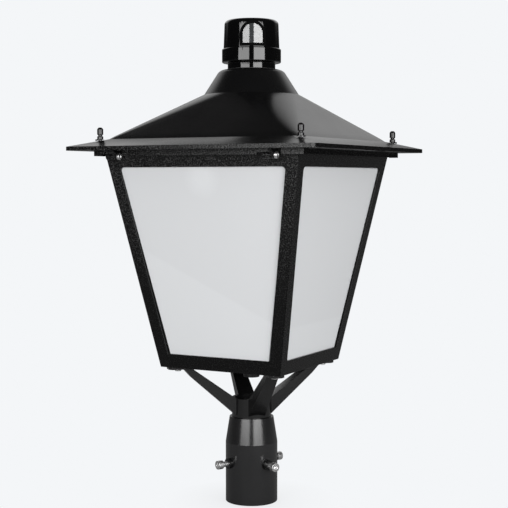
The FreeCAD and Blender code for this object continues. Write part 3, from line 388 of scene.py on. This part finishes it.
# a clean copy of a CAD node, with its edges eased, that stands for it
def refine(node, finish):
    mesh = nodes[node].data.copy()
    piece = bpy.data.objects.new(node + "_skin", mesh)
    scene.collection.objects.link(piece)
    work = bmesh.new()
    work.from_mesh(mesh)
    bmesh.ops.remove_doubles(work, verts=work.verts, dist=meshPlan["merge"])
    bmesh.ops.dissolve_limit(
        work, angle_limit=math.radians(meshPlan["flat"]), verts=work.verts, edges=work.edges)
    if node.endswith("_frame"):
        spreadWindow(work, sideNames.index(node[:-6]))
    if node.startswith("clamp_screw") or node == "clamp_nuts":
        stretchScrews(work, node)
    crease = meshPlan["creaseLevel"].get(node, -1000) * mm
    for edge in work.edges:
        folded = all(abs(vert.co.z - crease) < 0.1 * mm for vert in edge.verts)
        gentle = len(edge.link_faces) == 2 and edge.calc_face_angle(0) < math.radians(meshPlan["smooth"])
        edge.smooth = gentle and not folded
    for face in work.faces:
        face.smooth = True
    work.to_mesh(mesh)
    work.free()
    bevel = piece.modifiers.new("Ease", "BEVEL")
    bevel.width = easing.get(node, easing["default"]) * mm
    bevel.segments = meshPlan["segments"]
    bevel.limit_method = "ANGLE"
    bevel.angle_limit = math.radians(meshPlan["eased"])
    mesh.materials.clear()
    standFor(piece, node, finish)
    if node == "roof_canopy":
        mesh.materials.append(finishes["black_coat"])
        for face in mesh.polygons:
            face.material_index = int(face.center.z < meshPlan["skirtTop"] * mm)


for node in nodes:
    finish = ownFinish.get(node, finishes[slotOfNode[node]])
    if node in plainNodes:
        nodes[node].data.materials.clear()
        nodes[node].data.materials.append(finish)
    else:
        refine(node, finish)
print("CAD nodes refined")


# smooth hood from the square fold to the round cap

hoodPlan = {
    "low": 521, "high": 585, "half": (147.7, 68), "corner": (9, 67.75), "rings": 28, "arc": 14, "flat": 10,
    "lift": 0.5, "sunk": 1.6, "liftRun": 0.06, "liftOut": 0.6, "liftUp": 0.8, "leastCorner": 2,
}


# points of a square with rounded corners, from its right side round
def roundedRing(half, corner, level):
    points = []
    for quarter in range(4):
        turn = turned(90 * quarter)
        inner = half - corner
        side = [Vector((half, inner * (2 * step / hoodPlan["flat"] - 1), level))
                for step in range(hoodPlan["flat"])]
        bend = [Vector((inner + corner * math.cos(angle), inner + corner * math.sin(angle), level))
                for angle in (math.radians(90 * step / hoodPlan["arc"]) for step in range(hoodPlan["arc"]))]
        points += [turn @ point for point in side + bend]
    return points


# closed skin between two lists of rings
def shell(name, outer, inner):
    work = bmesh.new()
    rings = [[work.verts.new(point * mm) for point in ring] for ring in outer + inner[::-1]]
    for lower, upper in zip(rings, rings[1:] + rings[:1]):
        for index in range(len(lower)):
            after = (index + 1) % len(lower)
            work.faces.new((lower[index], lower[after], upper[after], upper[index]))
    bmesh.ops.recalc_face_normals(work, faces=work.faces)
    for face in work.faces:
        face.smooth = True
    for edge in work.edges:
        edge.smooth = edge.calc_face_angle(0) < math.radians(meshPlan["shellSmooth"])
    return pieceFrom(work, name)


def makeHood():
    outer, inner = [], []
    sunk = hoodPlan["sunk"]
    for step in range(hoodPlan["rings"] + 1):
        share = step / hoodPlan["rings"]
        half = between(*hoodPlan["half"], share)
        corner = between(*hoodPlan["corner"], share)
        level = between(hoodPlan["low"], hoodPlan["high"], share)
        lift = hoodPlan["lift"] * min(1, share / hoodPlan["liftRun"])
        out = lift * hoodPlan["liftOut"]
        outer.append(roundedRing(half + out, corner + out, level + lift * hoodPlan["liftUp"]))
        inner.append(roundedRing(half - sunk, max(corner - sunk, hoodPlan["leastCorner"]), level - sunk))
    standFor(shell("hood_skin", outer, inner), "roof_canopy", ownFinish["roof_canopy"])


makeHood()
print("hood made")


# panes that fill the windows to a little behind the frames' faces

panePlan = {"corner": 5, "cornerSteps": 6, "depth": 3.2, "thickness": 4.2, "gap": 0.05}


def makePane(side, quarter):
    turn = turned(90 * quarter)
    low, high, stile = (bodyPlan[label] for label in ("windowLow", "windowHigh", "stile"))
    corner, gap, depth = (panePlan[label] for label in ("corner", "gap", "depth"))
    lowHalf, highHalf = (halfAt(level) - stile + windowShift(level) - gap for level in (low, high))
    slope = (highHalf - lowHalf) / (high - low)
    edge = [(lowHalf, low + gap)]
    for step in range(panePlan["cornerSteps"] + 1):
        angle = math.radians(90 * step / panePlan["cornerSteps"])
        level = high - gap - corner + corner * math.sin(angle)
        edge.append((highHalf - corner + corner * math.cos(angle) - slope * (high - level), level))
    ring = edge + [(-x, z) for x, z in edge[::-1]]
    front, back = ([turn @ Vector((x, sunk - halfAt(z), z)) for x, z in ring]
                   for sunk in (depth, depth + panePlan["thickness"]))
    work = bmesh.new()
    rows = [[work.verts.new(point * mm) for point in row] for row in (front, back)]
    work.faces.new(rows[0])
    work.faces.new(rows[1][::-1])
    for index in range(len(ring)):
        after = (index + 1) % len(ring)
        work.faces.new((rows[0][index], rows[1][index], rows[1][after], rows[0][after]))
    bmesh.ops.recalc_face_normals(work, faces=work.faces)
    standFor(pieceFrom(work, side + "_pane"), side + "_panel", finishes["opal"])


for quarter, side in enumerate(sideNames):
    makePane(side, quarter)
print("panes made")


# small hoods on the skirt over the knuckles of the hinge and, mirrored, of the clamp

browPlan = {
    "spans": ((94, 115.7), (-147.8, -126.1)), "reach": (161.25, 163.2), "levels": (499.9, 505.8), "ease": 0.5,
}


def makeBrows():
    work = bmesh.new()
    for span in browPlan["spans"]:
        for back in (1, -1):
            made = bmesh.ops.create_cube(work, size=1)["verts"]
            for vert in made:
                x = span[0] if vert.co.x < 0 else span[1]
                y = browPlan["reach"][0] if vert.co.y < 0 else browPlan["reach"][1]
                z = browPlan["levels"][0] if vert.co.z < 0 else browPlan["levels"][1]
                vert.co = Vector((x * back, -y * back, z)) * mm
    bmesh.ops.recalc_face_normals(work, faces=work.faces)
    bmesh.ops.bevel(
        work, geom=work.edges[:], offset=browPlan["ease"] * mm,
        affect="EDGES", segments=2, profile=0.5, material=-1)
    standFor(pieceFrom(work, "brow_skin"), "roof_canopy", finishes["black_coat"])


makeBrows()


# dark matt rim round the photocell's window: painted shade, a raised ring whose matt black stands in for the
# shade inside the window's recess

rimPlan = {
    "turn": 31, "half": 18.2, "low": 651.5, "spring": 668.6, "top": 691, "radius": (39.8, 38.2),
    "width": 4.1, "proud": 0.9, "sunk": 0.6, "sideSteps": 6, "archSteps": 28, "sillSteps": 12,
}


# outline of the arched window on the cover, drawn in by an inset and lifted off the wall
def rimPath(inset, lift):
    half = rimPlan["half"] - inset
    low = rimPlan["low"] + inset
    spring = rimPlan["spring"]
    sides, arch, sill = (rimPlan[label] for label in ("sideSteps", "archSteps", "sillSteps"))
    path = [(half, between(low, spring, step / sides)) for step in range(sides)]
    angles = [math.pi * step / arch for step in range(arch)]
    path += [(half * math.cos(angle), spring + half * math.sin(angle)) for angle in angles]
    path += [(-half, between(spring, low, step / sides)) for step in range(sides)]
    path += [(between(-half, half, step / sill), low) for step in range(sill)]
    turn = turned(rimPlan["turn"])
    points = []
    for x, z in path:
        share = (z - rimPlan["low"]) / (rimPlan["top"] - rimPlan["low"])
        radius = between(*rimPlan["radius"], share) + lift
        points.append(turn @ Vector((x, -math.sqrt(radius * radius - x * x), z)))
    return points


def makeRim():
    inset, proud, sunk = rimPlan["width"], rimPlan["proud"], rimPlan["sunk"]
    outer = [rimPath(0, -sunk), rimPath(0, proud)]
    inner = [rimPath(inset, -sunk), rimPath(inset, proud)]
    standFor(shell("rim_skin", outer, inner), "photocell_cover", ownFinish["lens_rim"])


makeRim()
print("brows and rim made")


# stage, light and camera

stage = {
    "floorSize": 9.0, "floorDrop": 0.0005, "paper": (0.905, 0.921, 0.939, 1),
    "diffuse": 0.34, "fillRight": 1.08, "fillBack": 0.7,
    "rightRun": (0.3, 0.95), "backRun": (0.1, 0.7),
    "backdrop": 0.8, "backdropRun": (0.42, 0.66), "backdropTop": (0.64, 0.78), "backdropFoot": (0.14, 0.3),
    "ceiling": 0.03, "studio": 0.012, "ceilingRun": (0, 0.6),
}


# unit vectors of the photograph's view: towards the camera and to its right
def axes():
    angle = math.radians(cameraView["azimuth"])
    return Vector((math.sin(angle), -math.cos(angle), 0)), Vector((math.cos(angle), math.sin(angle), 0))


# the same helpers on the world's node tree
class WorldShader(Shader):
    def __init__(self, name):
        world = bpy.data.worlds.new(name)
        scene.world = world
        world.use_nodes = True
        self.tree = world.node_tree
        self.tree.nodes.clear()
        self.place = self.node("ShaderNodeTexCoord", {}, {}, "Generated")


# white paper behind the lantern, a dark studio on the camera's side, and a soft fill
def worldLight():
    shader = WorldShader("studio")
    back, right = axes()
    behind = shader.measure("DOT_PRODUCT", -back)
    side = shader.measure("DOT_PRODUCT", right)
    height = shader.axis("Z")
    paperShare = shader.ramp(behind, *stage["backdropRun"]) * shader.ramp(height, *stage["backdropTop"], 1, 0)
    paperShare = paperShare * shader.ramp(height, *stage["backdropFoot"])
    dark = shader.ramp(height, *stage["ceilingRun"], stage["studio"], stage["ceiling"])
    level = dark + paperShare * stage["backdrop"]
    path = shader.node("ShaderNodeLightPath", {}, {}, "Is Camera Ray")
    glossy = Value(shader, path.socket.node.outputs["Is Glossy Ray"])
    clear = Value(shader, path.socket.node.outputs["Is Transmission Ray"])
    fill = shader.ramp(side, *stage["rightRun"], stage["diffuse"], stage["fillRight"])
    fill = fill + shader.ramp(behind, *stage["backRun"], 0, stage["fillBack"])
    diffuse = shader.node("ShaderNodeCombineColor", {}, {0: fill, 1: fill, 2: fill})
    mirrored = shader.node("ShaderNodeCombineColor", {}, {0: level, 1: level, 2: level})
    seen = shader.mix(glossy, diffuse, mirrored)
    paper = path.math("MAXIMUM", clear)
    sky = shader.node("ShaderNodeBackground", {}, {"Color": shader.mix(paper, seen, stage["paper"])})
    out = shader.tree.nodes.new("ShaderNodeOutputWorld")
    shader.tree.links.new(sky.socket, out.inputs["Surface"])


cameraView = {
    "azimuth": 28.384, "distance": 1.765, "height": 0.4639, "pitch": 3.424, "yaw": 0.115,
    "lens": 87.05, "sensor": 36,
}


def makeCamera():
    back, right = axes()
    data = bpy.data.cameras.new("camera")
    data.sensor_width = cameraView["sensor"]
    data.lens = cameraView["lens"]
    camera = bpy.data.objects.new("camera", data)
    scene.collection.objects.link(camera)
    camera.location = back * cameraView["distance"] + Vector((0, 0, cameraView["height"]))
    yaw = math.radians(cameraView["yaw"])
    pitch = math.radians(cameraView["pitch"])
    level = -back * math.cos(yaw) + right * math.sin(yaw)
    forward = level * math.cos(pitch) - Vector((0, 0, 1)) * math.sin(pitch)
    camera.rotation_euler = forward.to_track_quat("-Z", "Y").to_euler()
    scene.camera = camera


boxes = {
    "softboxLeft": {"angle": -30.5, "width": 1.72, "power": 26.5},
    "softboxRight": {"angle": 30.5, "width": 1.72, "power": 34},
}
boxRoom = {"distance": 2.2, "low": 0.3, "high": 1.2}


# upright soft light that faces the lantern from an angle to the right of the camera
def softbox(name, angle, width, power):
    low, high, distance = boxRoom["low"], boxRoom["high"], boxRoom["distance"]
    back, right = axes()
    turn = math.radians(angle)
    out = back * math.cos(turn) + right * math.sin(turn)
    data = bpy.data.lights.new(name, "AREA")
    data.shape = "RECTANGLE"
    data.size = width
    data.size_y = high - low
    data.energy = power
    lamp = bpy.data.objects.new(name, data)
    scene.collection.objects.link(lamp)
    lamp.location = out * distance + Vector((0, 0, (low + high) / 2))
    lamp.rotation_euler = (-out).to_track_quat("-Z", "Y").to_euler()


def makeLights():
    for name, plan in boxes.items():
        softbox(name, plan["angle"], plan["width"], plan["power"])


floorPlan = {"near": 0.04, "far": 0.13, "least": 0.82, "albedo": 0.9, "mirrored": 0.22}


# paper floor that keeps the shadow round the sleeve and runs out into the backdrop
def makeFloor():
    work = bmesh.new()
    bmesh.ops.create_grid(work, x_segments=1, y_segments=1, size=stage["floorSize"])
    floor = pieceFrom(work, "floor")
    floor.location.z = -stage["floorDrop"]
    shader = Shader("floorPaper", Roughness=0.9, Specular_IOR_Level=0.0)
    reach = shader.measure("DISTANCE", (0, 0, 0))
    camera = shader.node("ShaderNodeLightPath", {}, {}, "Is Camera Ray")
    paper = shader.node("ShaderNodeEmission", {}, {"Color": stage["paper"]})
    shader.feed("Base Color", shader.mix(camera, grey(floorPlan["mirrored"]), grey(floorPlan["albedo"])))
    share = shader.ramp(reach, floorPlan["near"], floorPlan["far"], floorPlan["least"]) * camera
    lit = Value(shader, shader.principled.outputs[0])
    joined = shader.node("ShaderNodeMixShader", {}, {0: share, 1: lit, 2: paper})
    shader.tree.links.new(joined.socket, shader.tree.nodes["Material Output"].inputs["Surface"])
    floor.data.materials.append(shader.material)


scene.view_settings.view_transform = "Standard"
worldLight()
makeCamera()
makeLights()
makeFloor()
print("stage, lights and camera made")
